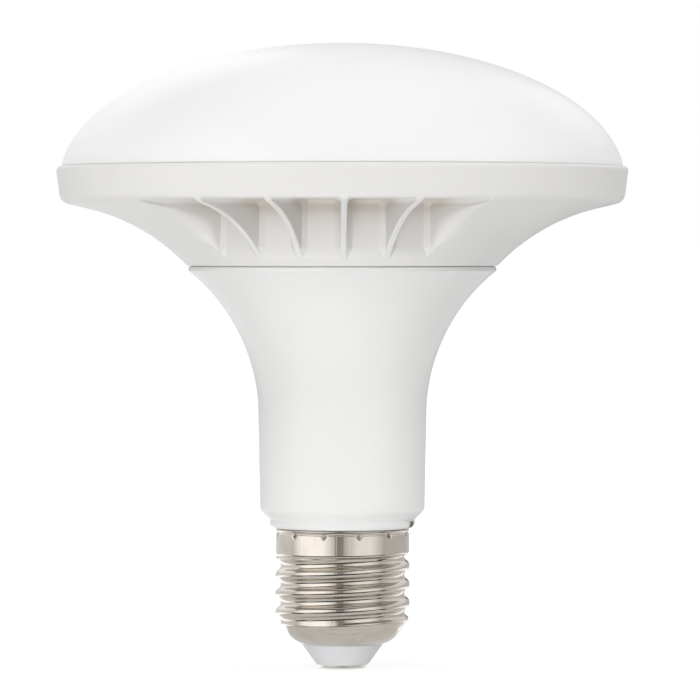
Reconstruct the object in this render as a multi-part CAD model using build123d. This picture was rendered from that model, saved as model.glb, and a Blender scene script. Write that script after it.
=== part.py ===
from build123d import *
import os
from math import acos, asin, atan2, cos, degrees, hypot, pi, radians, sin, sqrt, tan

# Lengths are millimetres and angles are degrees. The bulb stands on its end contact: +Z runs from the
# contact to the dome, and the middle of the front window of fins faces -Y.

# fits between pieces
slip_gap = 0.15
seat_gap = 0.05

# end contact and the insulator round it
contact_diameter = 9.6
contact_thickness = 0.7
contact_edge = 0.25
contact_pin_diameter = 3.2
contact_pin_length = 4.2
insulator_drop = 4.05
insulator_face_diameter = 10.2
insulator_edge = 0.6
insulator_hold = 5.0
insulator_funnel_diameter = 13.0

# screw shell, rolled from sheet to the E27 size
sheet = 0.3
lip_diameter = 16.0
dish_height = 4.05
dish_knee_inset = 1.2
dish_knee_rise = 0.85
thread_diameter = 26.3
thread_depth = 1.05
thread_pitch = 3.629
thread_knuckle = 1.025
thread_land_angle = 20.0
thread_sink = 0.5
thread_length = 13.2
thread_lead = 0.32
thread_runout = 1.2
shoulder_height = 0.9
barrel_diameter = 26.06
barrel_height = 4.6

# neck housing
neck_wall = 1.8
neck_diameter = 32.2
neck_draft = 0.35
neck_barrel_height = 18.5
neck_flare_radius = 36.0
neck_top_diameter = 60.2
neck_top_land = 0.7
neck_top_edge = 0.35
neck_corner = 1.5
foot_diameter = 28.4
foot_height = 1.6
foot_edge = 0.9
spigot_length = 15.0
ring_height = 3.9
ring_wall = 1.8
reveal = 0.3
rail_height = 20.0
rail_width = 1.4
rail_grip = 1.6

# finned collar
seam_step = 0.3
collar_foot_wall = 1.8
core_setback = 2.0
core_wall = 2.0
collar_foot_edge = 0.4
trumpet_foot_slope = 46.75
trumpet_crown_slope = 12.74
crown_setback = 5.9
skin = 2.0
rim_diameter = 111.8
rim_height = 7.0
rim_taper = 0.85
rim_lift = 1.2
rim_corner = 2.2
rim_edge = 0.5
rim_wall = 2.1
deck_thickness = 1.7
ceiling_lift = 0.4
fin_count = 4
fin_angle = 15.0
fin_thickness = 1.25
fin_foot_height = 1.3
fin_crossing_angle = 10.0
pocket_fillet = 0.8
window_shoulder = 1.0
window_count = 2
front_angle = -90.0
sector_wall_angle = 4.0

# diffuser dome
dome_wall = 1.6
dome_setback = 1.0
dome_height = 24.0
dome_bulge = 2.8
dome_edge = 0.3
skirt_depth = 3.2
skirt_wall = 1.5
snap_depth = 0.3
snap_height = 1.0
snap_drop = 1.2

# light board and the aluminium dish under it
dish_plate = 1.5
dish_skirt_gap = 1.9
dish_skirt_wall = 1.5
dish_opening_diameter = 14.0
led_board_margin = 1.85
led_board_thickness = 1.2
lead_hole_diameter = 12.0
led_length = 3.5
led_width = 2.8
led_height = 0.8
led_ring_insets = (36.3, 24.3, 5.3)
led_ring_counts = (8, 16, 28)
screw_setback = 3.1
screw_spread_angle = 25.0
screw_diameter = 2.9
screw_length = 7.0
screw_head_diameter = 5.5
screw_head_height = 1.8
screw_recess_diameter = 2.6
screw_recess_depth = 1.1
boss_diameter = 6.4
boss_spare_depth = 0.5

# driver board and what it carries
board_side_gap = 1.8
board_height = 44.0
board_thickness = 1.6
can_diameter = 10.0
can_length = 15.0
can_leg_pitch = 5.0
can_level = 15.0
film_width = 13.0
film_height = 8.0
film_depth = 6.0
film_level = 2.5
core_width = 13.0
core_height = 12.2
core_depth = 6.0
core_limb = 3.2
core_yoke = 2.2
bobbin_wall = 0.7
bobbin_flange_depth = 10.8
coil_margin = 0.4
transformer_level = 31.0
fuse_diameter = 3.2
fuse_length = 8.0
fuse_level = 11.0
fuse_offset = 7.6
disc_diameter = 7.2
disc_thickness = 3.0
disc_level = 12.5
disc_offset = 7.2
bridge_size = (4.9, 3.9, 2.3)
bridge_level = 15.0
chip_size = (3.9, 4.9, 1.5)
chip_level = 25.0
diode_size = (3.6, 4.4, 2.2)
diode_level = 34.0
foot_length = 1.0
foot_thickness = 0.25
leg_diameter = 0.6

# leads
live_lead_diameter = 1.5
neutral_lead_diameter = 0.6
led_lead_diameter = 1.3
lead_pitch = 6.0
lead_overlap = 6.0
pad_radius = 9.0
tail_angle = 76.5
tail_end_gap = 0.15
groove_width = 0.9
groove_depth = 0.9

# levels along the axis, from the contact's face upwards
insulator_level = contact_thickness
lip_level = insulator_level + insulator_drop
dish_level = lip_level + dish_height
thread_level = dish_level + thread_length
barrel_level = thread_level + shoulder_height
cap_level = barrel_level + barrel_height
insulator_top = lip_level + insulator_hold
contact_pin_top = insulator_level + contact_pin_length

# radii
contact_radius = contact_diameter / 2
lip_radius = lip_diameter / 2
crest_radius = thread_diameter / 2
root_radius = crest_radius - thread_depth
barrel_radius = barrel_diameter / 2
spigot_radius = root_radius - sheet - slip_gap
band_radius = barrel_radius - sheet - slip_gap
spigot_bore_radius = spigot_radius - neck_wall
neck_radius = neck_diameter / 2
neck_upper_radius = neck_radius + neck_draft
neck_top_radius = neck_top_diameter / 2
foot_radius = foot_diameter / 2
trumpet_foot_radius = neck_top_radius + seam_step
core_bore_radius = trumpet_foot_radius - collar_foot_wall
core_radius = trumpet_foot_radius + core_setback
ring_radius = core_bore_radius - slip_gap
ring_bore_radius = ring_radius - ring_wall
rim_radius = rim_diameter / 2
trumpet_top_radius = rim_radius - crown_setback
rim_bore_radius = rim_radius - rim_wall
skirt_radius = rim_bore_radius - slip_gap
skirt_bore_radius = skirt_radius - skirt_wall
dome_seat_radius = rim_radius - dome_setback
led_board_radius = skirt_bore_radius - led_board_margin
screw_circle_radius = core_radius + screw_setback

# levels of the neck
spigot_level = cap_level - spigot_length
foot_top = cap_level + foot_height
neck_level = foot_top + neck_radius - foot_radius
flare_level = neck_level + neck_barrel_height
flare_run = neck_top_radius - neck_upper_radius
flare_rise = sqrt(neck_flare_radius**2 - (neck_flare_radius - flare_run) ** 2)
flare_top = flare_level + flare_rise
neck_top = flare_top + neck_top_land
ring_top = neck_top + ring_height

# the trumpet is an arc between two slopes, so its radius and its height follow from its run
trumpet_run = trumpet_top_radius - trumpet_foot_radius
foot_slope = radians(trumpet_foot_slope)
crown_slope = radians(trumpet_crown_slope)
trumpet_radius = trumpet_run / (sin(foot_slope) - sin(crown_slope))
trumpet_height = trumpet_radius * (cos(crown_slope) - cos(foot_slope))

# levels of the collar and the dome
collar_level = neck_top + reveal
trumpet_top = collar_level + trumpet_height
rim_corner_level = trumpet_top + rim_lift
rim_level = rim_corner_level + rim_height
ceiling_level = rim_corner_level + ceiling_lift
deck_level = ceiling_level + deck_thickness
led_board_level = deck_level + dish_plate
led_level = led_board_level + led_board_thickness
skirt_level = rim_level - skirt_depth

# the centre of the trumpet's arc, outside and below the collar
trumpet_centre_radius = trumpet_foot_radius + trumpet_radius * sin(foot_slope)
trumpet_centre_level = collar_level - trumpet_radius * cos(foot_slope)

# the driver board stands on the floor of the neck
board_face = board_thickness / 2 + seat_gap
board_level = neck_level
board_width = 2 * (neck_radius - neck_wall - board_side_gap)
board_top = board_level + board_height

window_angle = fin_angle * (fin_count + 1)
screw_angles = [
    side + turn for side in (0, 180) for turn in (-screw_spread_angle, screw_spread_angle)
]


def turned(*edges):
    """A solid of revolution about the bulb's axis, from a closed outline in radius and height."""
    return revolve(Plane.XZ * make_face(list(edges)), Axis.Z)


def eased(outline, corner, radius):
    """An outline with the corner nearest to a point rounded."""
    return fillet(outline.vertices().sort_by_distance(Vector(*corner, 0))[0], radius)


def bow(start, end, radius):
    """A concave stretch of a turned outline, from its lower to its upper end, with its arc's middle."""
    chord = Vector(*end) - Vector(*start)
    across = Vector(-chord.Y, chord.X).normalized()
    sag = radius - sqrt(radius**2 - chord.length**2 / 4)
    middle = (Vector(*start) + Vector(*end)) / 2 + across * sag
    return ThreePointArc(start, (middle.X, middle.Y), end)


def trumpet_radius_at(level, offset=0.0):
    """Radius of the collar's outer face at a level, or of a face that lies offset inside it."""
    rise = level - trumpet_centre_level
    return trumpet_centre_radius - sqrt((trumpet_radius + offset) ** 2 - rise**2)


def trumpet_level_at(radius, offset=0.0):
    """Level of the collar's outer face at a radius, or of a face that lies offset inside it."""
    run = trumpet_centre_radius - radius
    return trumpet_centre_level + sqrt((trumpet_radius + offset) ** 2 - run**2)


def around(piece, angles):
    """Copies of a piece turned about the axis."""
    return [Rot(0, 0, angle) * piece for angle in angles]


def bar(radius, low, high):
    """A plain round bar on the axis."""
    return Pos(0, 0, low) * Cylinder(radius, high - low, align=(Align.CENTER, Align.CENTER, Align.MIN))


def wire(points, diameter, bends):
    """A round lead along straight runs and tangent arcs, with one bend radius for each corner."""
    path = FilletPolyline(*points, radius=bends)
    section = Plane(origin=path @ 0, z_dir=path % 0) * Circle(diameter / 2)
    return sweep(section, path=path)


def on_board(piece, side, across, level):
    """A part modelled with its seat on Z = 0 and its upper end towards +Y, set on the driver board."""
    seat = Plane(
        origin=(across, side * board_face, board_level + level),
        x_dir=(-side, 0, 0),
        z_dir=(0, side, 0),
    )
    return seat * piece


def dish_curve(inset):
    """The three points of the curve from the shell's lip to the foot of its thread, drawn in by inset."""
    lip = (lip_radius - inset, lip_level)
    knee = (root_radius - dish_knee_inset - inset, lip_level + dish_knee_rise)
    dish = (root_radius - inset, dish_level)
    return lip, knee, dish


def thread_section(inset):
    """One ridge of the knuckle thread: a crest arc that flows into two root arcs, drawn in by inset."""
    flank = acos(1 - thread_depth / 2 / thread_knuckle)
    land = radians(thread_land_angle)
    root_arc = thread_knuckle + inset
    root_across = 2 * thread_knuckle * sin(flank)

    def root_point(angle):
        return thread_knuckle - root_arc * cos(angle), root_across - root_arc * sin(angle)

    side = [root_point(angle) for angle in (flank, (flank + land) / 2, land)]
    other = [(height, -across) for height, across in side]
    foot = -inset - thread_sink
    return make_face(
        [
            ThreePointArc(other[0], (thread_depth - inset, 0), side[0]),
            ThreePointArc(*side),
            Polyline(side[2], (foot, side[2][1]), (foot, other[2][1]), other[2]),
            ThreePointArc(*other),
        ]
    )


def threaded_bar(inset):
    """A long bar with the right-hand thread, which starts a turn below the dish and ends at the barrel."""
    start = dish_level + thread_lead - thread_pitch
    path = Pos(0, 0, start) * Helix(thread_pitch, barrel_level - start, root_radius)
    seat = Plane(origin=path @ 0, x_dir=(1, 0, 0), z_dir=path % 0)
    ridge = sweep(seat * thread_section(inset), path=path, is_frenet=True)
    return bar(root_radius - inset, lip_level - thread_pitch, cap_level) + ridge


def shell_form(inset):
    """What lies inside the shell's outer face, drawn in by inset."""
    lip, knee, dish = dish_curve(inset)
    clear = crest_radius + sheet - inset
    barrel = (barrel_radius - inset, barrel_level)
    shoulder = (barrel_radius - inset, thread_level + shoulder_height / 2)
    thread = (root_radius - inset, thread_level)
    # the thread runs out on cones at the dish and at the barrel
    limit = turned(
        Bezier(lip, knee, dish),
        Polyline(
            dish,
            (clear, dish_level + thread_runout),
            (clear, thread_level - thread_runout),
            barrel,
            (0, barrel_level),
            (0, lip_level),
            lip,
        ),
    )
    band = turned(
        Bezier(thread, shoulder, barrel),
        Polyline(barrel, (barrel_radius - inset, cap_level), (0, cap_level), (0, thread_level), thread),
    )
    return (threaded_bar(inset) & limit) + band


def make_cap_shell():
    return shell_form(0) - shell_form(sheet)


def make_cap_insulator():
    cone = make_face(
        Polyline(
            (0, insulator_level),
            (insulator_face_diameter / 2, insulator_level),
            (lip_radius, lip_level),
            (0, lip_level),
            close=True,
        )
    )
    cone = eased(cone, (insulator_face_diameter / 2, insulator_level), insulator_edge)
    lip, knee, dish = dish_curve(sheet + seat_gap)
    plug = turned(
        Bezier(lip, knee, dish),
        Polyline(dish, (dish[0], insulator_top), (0, insulator_top), (0, lip_level), lip),
    )
    bore = bar(contact_pin_diameter / 2 + seat_gap, 0, insulator_top)
    funnel = turned(
        Polyline(
            (0, contact_pin_top),
            (contact_pin_diameter / 2, contact_pin_top),
            (insulator_funnel_diameter / 2, insulator_top),
            (0, insulator_top),
            close=True,
        )
    )
    return revolve(Plane.XZ * cone, Axis.Z) + plug - bore - funnel


def make_centre_contact():
    head = bar(contact_radius, 0, contact_thickness)
    head = fillet(head.edges().group_by(Axis.Z)[0], contact_edge)
    return head + bar(contact_pin_diameter / 2, 0, contact_pin_top)


def make_neck_housing():
    foot_corner = (foot_radius, cap_level)
    neck_corner_point = (neck_radius, neck_level)
    top_corner = (neck_top_radius, neck_top)
    flare_start = (neck_upper_radius, flare_level)
    flare_end = (neck_top_radius, flare_top)
    inner_start = (neck_upper_radius - neck_wall, flare_level)
    inner_run = neck_upper_radius + neck_flare_radius - ring_bore_radius
    inner_radius = neck_flare_radius + neck_wall
    inner_end = (ring_bore_radius, flare_level + sqrt(inner_radius**2 - inner_run**2))
    outline = make_face(
        [
            Polyline(
                (spigot_bore_radius, spigot_level),
                (spigot_radius, spigot_level),
                (spigot_radius, thread_level),
                (band_radius, barrel_level + shoulder_height / 2),
                (band_radius, cap_level),
                foot_corner,
                (foot_radius, foot_top),
                neck_corner_point,
                flare_start,
            ),
            bow(flare_start, flare_end, neck_flare_radius),
            Polyline(
                flare_end,
                top_corner,
                (ring_radius, neck_top),
                (ring_radius, ring_top),
                (ring_bore_radius, ring_top),
                inner_end,
            ),
            bow(inner_start, inner_end, inner_radius),
            Polyline(
                inner_start,
                (neck_radius - neck_wall, neck_level),
                (spigot_bore_radius, neck_level),
                (spigot_bore_radius, spigot_level),
            ),
        ]
    )
    outline = eased(outline, foot_corner, foot_edge)
    outline = eased(outline, neck_corner_point, neck_corner)
    outline = eased(outline, top_corner, neck_top_edge)
    # a land inside the shadow line carries the collar
    land_width = (trumpet_foot_radius - core_bore_radius) / 2
    land = bar(core_bore_radius + land_width, neck_top, collar_level)
    land -= bar(ring_radius, neck_top, collar_level)
    rail_start = board_width / 2 + slip_gap - rail_grip
    rail = Box(
        neck_radius - neck_wall / 2 - rail_start,
        rail_width,
        rail_height,
        align=(Align.MIN, Align.MIN, Align.MIN),
    )
    rail = Pos(rail_start, board_thickness / 2 + slip_gap, neck_level) * rail
    rails = [rail, mirror(rail, Plane.XZ), mirror(rail, Plane.YZ), Rot(0, 0, 180) * rail]
    # the neutral lead runs up a groove in the spigot and out over the shell's edge
    groove_floor = spigot_radius - groove_depth
    groove = Box(
        foot_radius - groove_floor + foot_edge,
        groove_width,
        spigot_length + groove_width,
        align=(Align.MIN, Align.CENTER, Align.MIN),
    )
    groove = Rot(0, 0, tail_angle + front_angle) * Pos(groove_floor, 0, spigot_level) * groove
    return revolve(Plane.XZ * outline, Axis.Z) + land + rails - groove


def pocket_section():
    """Outline of a fin window in radius and height: the core's face, the ceiling and open air."""
    foot_level = collar_level + fin_foot_height
    foot = Vector(trumpet_radius_at(foot_level), foot_level)
    slope = degrees(asin((foot_level - trumpet_centre_level) / trumpet_radius)) - fin_crossing_angle
    lean = radians(slope)
    bend = (core_radius - foot.X) / (1 - cos(lean))
    centre = foot + Vector(-cos(lean), sin(lean)) * bend
    middle = centre + Vector(cos(lean / 2), -sin(lean / 2)) * bend
    upright = centre + Vector(bend, 0)
    start = foot - Vector(sin(lean), cos(lean)) * fin_foot_height
    far = rim_radius + rim_corner
    return make_face(
        [
            Line(start, foot),
            ThreePointArc(foot, middle, upright),
            Polyline(
                upright,
                (core_radius, ceiling_level),
                (far, ceiling_level),
                (far, start.Y),
                start,
            ),
        ]
    )


def pocket(first_half, second_half):
    """The room between two fins, one pitch wide, less half a fin's thickness on each side."""
    ring = revolve(Plane.XZ * pocket_section(), Axis.Z)
    one = Vector(1, 0).rotate(Axis.Z, -fin_angle / 2)
    two = Vector(1, 0).rotate(Axis.Z, fin_angle / 2)
    # each side wall is parallel to its fin's middle plane
    first = one.rotate(Axis.Z, 90) * first_half
    second = two.rotate(Axis.Z, -90) * second_half
    reach = 2 * rim_radius
    apex = crossing_point(first, one, second, two)
    plan = make_face(Polyline(apex, first + one * reach, second + two * reach, close=True))
    room = ring & Pos(0, 0, collar_level) * extrude(plan, rim_level - collar_level)
    walls = room.edges().filter_by(rounded_in_pocket)
    return fillet(walls, pocket_fillet)


def rounded_in_pocket(edge):
    """Whether an edge of a pocket is an inner corner at the core or the ceiling."""
    ends = [edge @ 0, edge @ 1]
    inner = all(hypot(end.X, end.Y) < core_radius + fin_thickness for end in ends)
    raised = max(end.Z for end in ends) > collar_level + fin_foot_height
    spoke = all(abs(end.Z - ceiling_level) < seat_gap for end in ends)
    return (inner and raised) or (spoke and edge.geom_type == GeomType.LINE)


def crossing_point(first, one, second, two):
    """Where two lines in the plan cross, each given by a point and a direction."""
    gap = second - first
    share = (gap.X * two.Y - gap.Y * two.X) / (one.X * two.Y - one.Y * two.X)
    return first + one * share


def on_window_side(edge):
    """Whether an edge of the collar is where a window's side wall meets the trumpet."""
    places = [edge @ 0, edge @ 0.5, edge @ 1]
    if any(place.Z > trumpet_top + seat_gap for place in places):
        return False
    turn = 360 / window_count
    middle = degrees(atan2(places[1].Y, places[1].X)) - front_angle
    from_window = abs((middle + turn / 2) % turn - turn / 2)
    on_face = all(abs(hypot(place.X, place.Y) - trumpet_radius_at(place.Z)) < seat_gap for place in places)
    climbs = abs(places[2].Z - places[0].Z) > pocket_fillet
    return on_face and climbs and abs(from_window - window_angle / 2) < fin_angle / 8


def make_finned_collar():
    rim_corner_point = (rim_radius - rim_taper, rim_corner_level)
    groove_low = rim_level - snap_drop - snap_height / 2 - slip_gap
    groove_high = rim_level - snap_drop + snap_height / 2 + slip_gap
    groove_radius = rim_bore_radius + snap_depth
    foot = (trumpet_foot_radius, collar_level)
    crown = (trumpet_top_radius, trumpet_top)
    outline = make_face(
        [
            Line((core_bore_radius, collar_level), foot),
            bow(foot, crown, trumpet_radius),
            Polyline(
                crown,
                rim_corner_point,
                (rim_radius, rim_level),
                (rim_bore_radius, rim_level),
                (rim_bore_radius, groove_high),
                (groove_radius, rim_level - snap_drop),
                (rim_bore_radius, groove_low),
                (rim_bore_radius, deck_level),
                (core_bore_radius, deck_level),
                (core_bore_radius, collar_level),
            ),
        ]
    )
    outline = eased(outline, foot, collar_foot_edge)
    outline = eased(outline, rim_corner_point, rim_corner)
    outline = eased(outline, (rim_radius, rim_level), rim_edge)
    body = revolve(Plane.XZ * outline, Axis.Z)
    # fins stand between the pockets of each window
    half = fin_thickness / 2
    places = [fin_angle * (step - fin_count / 2) for step in range(fin_count + 1)]
    sides = [(half if step else 0, half if step < fin_count else 0) for step in range(fin_count + 1)]
    pockets = [Rot(0, 0, place) * pocket(*side) for place, side in zip(places, sides)]
    turn = 360 / window_count
    for window in range(window_count):
        body -= around(Part() + pockets, [front_angle + turn * window])
    body = fillet(body.edges().filter_by(on_window_side), window_shoulder)
    # the moulding is cored out from above between the windows, round the screw bosses
    sector = 360 / window_count - window_angle - 2 * sector_wall_angle
    inner = core_bore_radius + core_wall
    outer = trumpet_top_radius - skin
    hollow = make_face(
        [
            ThreePointArc(
                (inner, trumpet_level_at(inner, skin)),
                ((inner + outer) / 2, trumpet_level_at((inner + outer) / 2, skin)),
                (outer, trumpet_level_at(outer, skin)),
            ),
            Polyline(
                (outer, trumpet_level_at(outer, skin)),
                (outer, deck_level),
                (inner, deck_level),
                (inner, trumpet_level_at(inner, skin)),
            ),
        ]
    )
    cavity = Rot(0, 0, -sector / 2) * revolve(Plane.XZ * hollow, Axis.Z, sector)
    boss = Pos(screw_circle_radius, 0) * bar(boss_diameter / 2, collar_level, deck_level)
    pilot_low = led_level - screw_length - boss_spare_depth
    pilot = Pos(screw_circle_radius, 0) * bar(screw_diameter / 2 + seat_gap, pilot_low, deck_level)
    cavities = around(cavity, [turn * window for window in range(window_count)])
    return body - (Part() + cavities - around(boss, screw_angles)) - around(pilot, screw_angles)


def make_diffuser_dome():
    tall = dome_height + dome_bulge
    wide = dome_seat_radius / sqrt(1 - (dome_bulge / tall) ** 2)
    level = rim_level - dome_bulge

    def arch(reach, rise, start):
        # an exact stretch of an ellipse, from its start angle up to the axis
        span = pi / 2 - start
        foot = (reach * cos(start), level + rise * sin(start))
        corner = (reach * tan(span / 2), level + rise)
        return Bezier(foot, corner, (0, level + rise), weights=(1, cos(span / 2), 1))

    outer = arch(wide, tall, asin(dome_bulge / tall))
    inner_reach = wide - dome_wall
    inner = arch(inner_reach, tall - dome_wall, acos(skirt_bore_radius / inner_reach))
    snap = rim_level - snap_drop
    outline = make_face(
        [
            outer,
            Line(outer @ 1, inner @ 1),
            inner,
            Polyline(
                inner @ 0,
                (skirt_bore_radius, skirt_level),
                (skirt_radius, skirt_level),
                (skirt_radius, snap - snap_height / 2),
                (skirt_radius + snap_depth, snap),
                (skirt_radius, snap + snap_height / 2),
                (skirt_radius, rim_level),
                outer @ 0,
            ),
        ]
    )
    outline = eased(outline, (dome_seat_radius, rim_level), dome_edge)
    return revolve(Plane.XZ * outline, Axis.Z)


def make_heat_spreader():
    plate_radius = rim_bore_radius - slip_gap
    skirt_radius_outer = core_bore_radius - slip_gap
    plate = bar(plate_radius, deck_level, led_board_level)
    skirt_low = ring_top + dish_skirt_gap
    skirt = bar(skirt_radius_outer, skirt_low, deck_level)
    hollow = bar(skirt_radius_outer - dish_skirt_wall, skirt_low, deck_level)
    opening = bar(dish_opening_diameter / 2, deck_level, led_board_level)
    hole = Pos(screw_circle_radius, 0) * bar(screw_diameter / 2 + slip_gap, deck_level, led_board_level)
    return plate + (skirt - hollow) - opening - around(hole, screw_angles)


def make_led_board():
    board = bar(led_board_radius, led_board_level, led_level)
    opening = bar(lead_hole_diameter / 2, led_board_level, led_level)
    hole = Pos(screw_circle_radius, 0) * bar(screw_diameter / 2 + slip_gap, led_board_level, led_level)
    return board - opening - around(hole, screw_angles)


def make_led_chips():
    chip = Box(led_width, led_length, led_height, align=(Align.CENTER, Align.CENTER, Align.MIN))
    chips = []
    for inset, count in zip(led_ring_insets, led_ring_counts):
        step = 360 / count
        seat = Pos(led_board_radius - inset, 0, led_level)
        chips += around(seat * chip, [step * (place + 0.5) for place in range(count)])
    return Compound(chips)


def make_board_screws():
    head = bar(screw_head_diameter / 2, led_level, led_level + screw_head_height)
    head = fillet(head.edges().group_by(Axis.Z)[-1], screw_head_height / 2)
    shank = bar(screw_diameter / 2, led_level - screw_length, led_level)
    head_top = led_level + screw_head_height
    arm = Box(screw_recess_diameter, screw_recess_diameter / 4, screw_recess_depth)
    recess = Pos(0, 0, head_top - screw_recess_depth / 2) * (arm + Rot(0, 0, 90) * arm)
    screw = Pos(screw_circle_radius, 0) * (head + shank - recess)
    return Compound(around(screw, screw_angles))


def make_driver_board():
    board = Box(board_width, board_thickness, board_height, align=(Align.CENTER, Align.CENTER, Align.MIN))
    return Pos(0, 0, board_level) * board


def make_bulk_capacitor():
    radius = can_diameter / 2
    can = Cylinder(radius, can_length, align=(Align.CENTER, Align.CENTER, Align.MIN))
    can = fillet(can.edges().filter_by(GeomType.CIRCLE), radius / 6)
    drop = can_diameter / 4
    legs = [
        wire(
            [(side * can_leg_pitch / 2, 0, seat_gap), (side * can_leg_pitch / 2, 0, -drop),
             (side * can_leg_pitch / 2, radius, -drop)],
            leg_diameter,
            drop / 2,
        )
        for side in (-1, 1)
    ]
    return Pos(0, -board_face - radius, board_level + can_level) * (can + legs)


def make_film_capacitor():
    block = Box(film_width, film_height, film_depth, align=(Align.CENTER, Align.MIN, Align.MIN))
    block = fillet(block.edges().filter_by(Axis.Z), film_height / 10)
    return on_board(block, -1, 0, film_level)


def transformer_place(piece):
    """A transformer piece, modelled about its own middle, on the front of the driver board."""
    reach = board_face + bobbin_flange_depth / 2
    return Pos(0, -reach, board_level + transformer_level + core_height / 2) * piece


core_window_height = core_height - 2 * core_yoke
core_window_width = (core_width - 2 * core_yoke - core_limb) / 2


def make_transformer_core():
    block = Box(core_width, core_depth, core_height)
    window = Box(core_window_width, core_depth, core_window_height)
    shift = (core_limb + core_window_width) / 2
    return transformer_place(block - Pos(shift, 0, 0) * window - Pos(-shift, 0, 0) * window)


bobbin_tube_width = core_limb + 2 * seat_gap + 2 * bobbin_wall
bobbin_tube_depth = core_depth + 2 * seat_gap + 2 * bobbin_wall
bobbin_height = core_window_height - 2 * seat_gap
bobbin_flange_width = core_limb + 2 * core_window_width - 2 * slip_gap


def make_transformer_bobbin():
    flange = Box(bobbin_flange_width, bobbin_flange_depth, bobbin_wall)
    rise = (bobbin_height - bobbin_wall) / 2
    tube = Box(bobbin_tube_width, bobbin_tube_depth, bobbin_height)
    bore = Box(core_limb + 2 * seat_gap, core_depth + 2 * seat_gap, bobbin_height)
    return transformer_place(tube + Pos(0, 0, rise) * flange + Pos(0, 0, -rise) * flange - bore)


def make_transformer_winding():
    height = bobbin_height - 2 * bobbin_wall - 2 * seat_gap
    coil = Box(bobbin_flange_width - coil_margin, bobbin_flange_depth - coil_margin, height)
    coil = fillet(coil.edges().filter_by(Axis.Z), core_window_width / 2)
    bore = Box(bobbin_tube_width + 2 * seat_gap, bobbin_tube_depth + 2 * seat_gap, height)
    return transformer_place(coil - bore)


def make_fuse_resistor():
    radius = fuse_diameter / 2
    body = Cylinder(radius, fuse_length)
    body = fillet(body.edges().filter_by(GeomType.CIRCLE), radius / 2)
    reach = fuse_length / 2 + fuse_diameter / 2
    legs = [
        wire(
            [(0, 0, side * (fuse_length / 2 - seat_gap)), (0, 0, side * reach), (0, -radius, side * reach)],
            leg_diameter,
            radius / 2,
        )
        for side in (-1, 1)
    ]
    return Pos(-fuse_offset, board_face + radius, board_level + fuse_level) * (body + legs)


def make_surge_disc():
    radius = disc_diameter / 2
    disc = Cylinder(radius, disc_thickness)
    disc = fillet(disc.edges().filter_by(GeomType.CIRCLE), disc_thickness / 4)
    return Pos(disc_offset, board_face + radius, board_level + disc_level) * disc


def footed_package(size, feet):
    """A moulded package on flat feet along two sides, with its seat on Z = 0."""
    length, width, height = size
    body = Pos(0, 0, foot_thickness) * Box(
        length, width, height - foot_thickness, align=(Align.CENTER, Align.CENTER, Align.MIN)
    )
    pitch = length / feet
    span = width + 2 * foot_length
    foot = Box(pitch / 2, span, foot_thickness, align=(Align.CENTER, Align.CENTER, Align.MIN))
    places = [pitch * (place - (feet - 1) / 2) for place in range(feet)]
    return body + [Pos(place, 0, 0) * foot for place in places]


def make_bridge_rectifier():
    return on_board(footed_package(bridge_size, 2), 1, 0, bridge_level)


def make_driver_chip():
    return on_board(footed_package(chip_size, 4), 1, 0, chip_level)


def make_output_diode():
    return on_board(footed_package(diode_size, 1), 1, 0, diode_level)


def make_live_lead():
    reach = board_face + live_lead_diameter / 2
    across = -lead_pitch / 2
    turn_level = (spigot_level + board_level) / 2
    points = [
        (across, reach, board_level + lead_overlap),
        (across, reach, board_level - live_lead_diameter),
        (0, 0, turn_level - spigot_bore_radius / 2),
        (0, 0, contact_pin_top + seat_gap),
    ]
    return wire(points, live_lead_diameter, [spigot_bore_radius / 2, spigot_bore_radius / 2])


def make_neutral_lead():
    reach = board_face + neutral_lead_diameter / 2
    across = lead_pitch / 2
    run = spigot_radius - groove_depth / 2
    under = spigot_level - groove_depth
    over = cap_level + groove_width / 2
    tail = foot_radius + neutral_lead_diameter / 2 + seat_gap
    out = Vector(1, 0).rotate(Axis.Z, tail_angle + front_angle)
    inside = spigot_bore_radius - groove_depth - neutral_lead_diameter
    points = [
        Vector(across, reach, board_level + lead_overlap),
        Vector(across, reach, board_level - spigot_bore_radius / 4),
        out * inside + Vector(0, 0, spigot_level + spigot_bore_radius / 2),
        out * inside + Vector(0, 0, under),
        out * run + Vector(0, 0, under),
        out * run + Vector(0, 0, over),
        out * tail + Vector(0, 0, over),
        out * tail + Vector(0, 0, foot_top - tail_end_gap),
    ]
    tight = neutral_lead_diameter
    bends = [spigot_bore_radius / 4, spigot_bore_radius / 4, tight, tight, tight, tight]
    return wire(points, neutral_lead_diameter, bends)


def led_lead(side):
    """One of the two leads from the driver board, through the dish, to its pad on the light board."""
    reach = board_face + led_lead_diameter / 2
    across = side * lead_pitch / 2
    lay = led_level + led_lead_diameter / 2 + seat_gap
    points = [
        (across, reach, board_top - lead_overlap),
        (across, reach, lay),
        (side * pad_radius, reach, lay),
    ]
    return wire(points, led_lead_diameter, 2 * led_lead_diameter)


parts = {
    "diffuser_dome": make_diffuser_dome(),
    "finned_collar": make_finned_collar(),
    "neck_housing": make_neck_housing(),
    "cap_shell": make_cap_shell(),
    "cap_insulator": make_cap_insulator(),
    "centre_contact": make_centre_contact(),
    "heat_spreader": make_heat_spreader(),
    "led_board": make_led_board(),
    "led_chips": make_led_chips(),
    "board_screws": make_board_screws(),
    "driver_board": make_driver_board(),
    "bulk_capacitor": make_bulk_capacitor(),
    "film_capacitor": make_film_capacitor(),
    "transformer_core": make_transformer_core(),
    "transformer_bobbin": make_transformer_bobbin(),
    "transformer_winding": make_transformer_winding(),
    "fuse_resistor": make_fuse_resistor(),
    "surge_disc": make_surge_disc(),
    "bridge_rectifier": make_bridge_rectifier(),
    "driver_chip": make_driver_chip(),
    "output_diode": make_output_diode(),
    "live_lead": make_live_lead(),
    "neutral_lead": make_neutral_lead(),
    "led_lead_positive": led_lead(1),
    "led_lead_negative": led_lead(-1),
}

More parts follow.
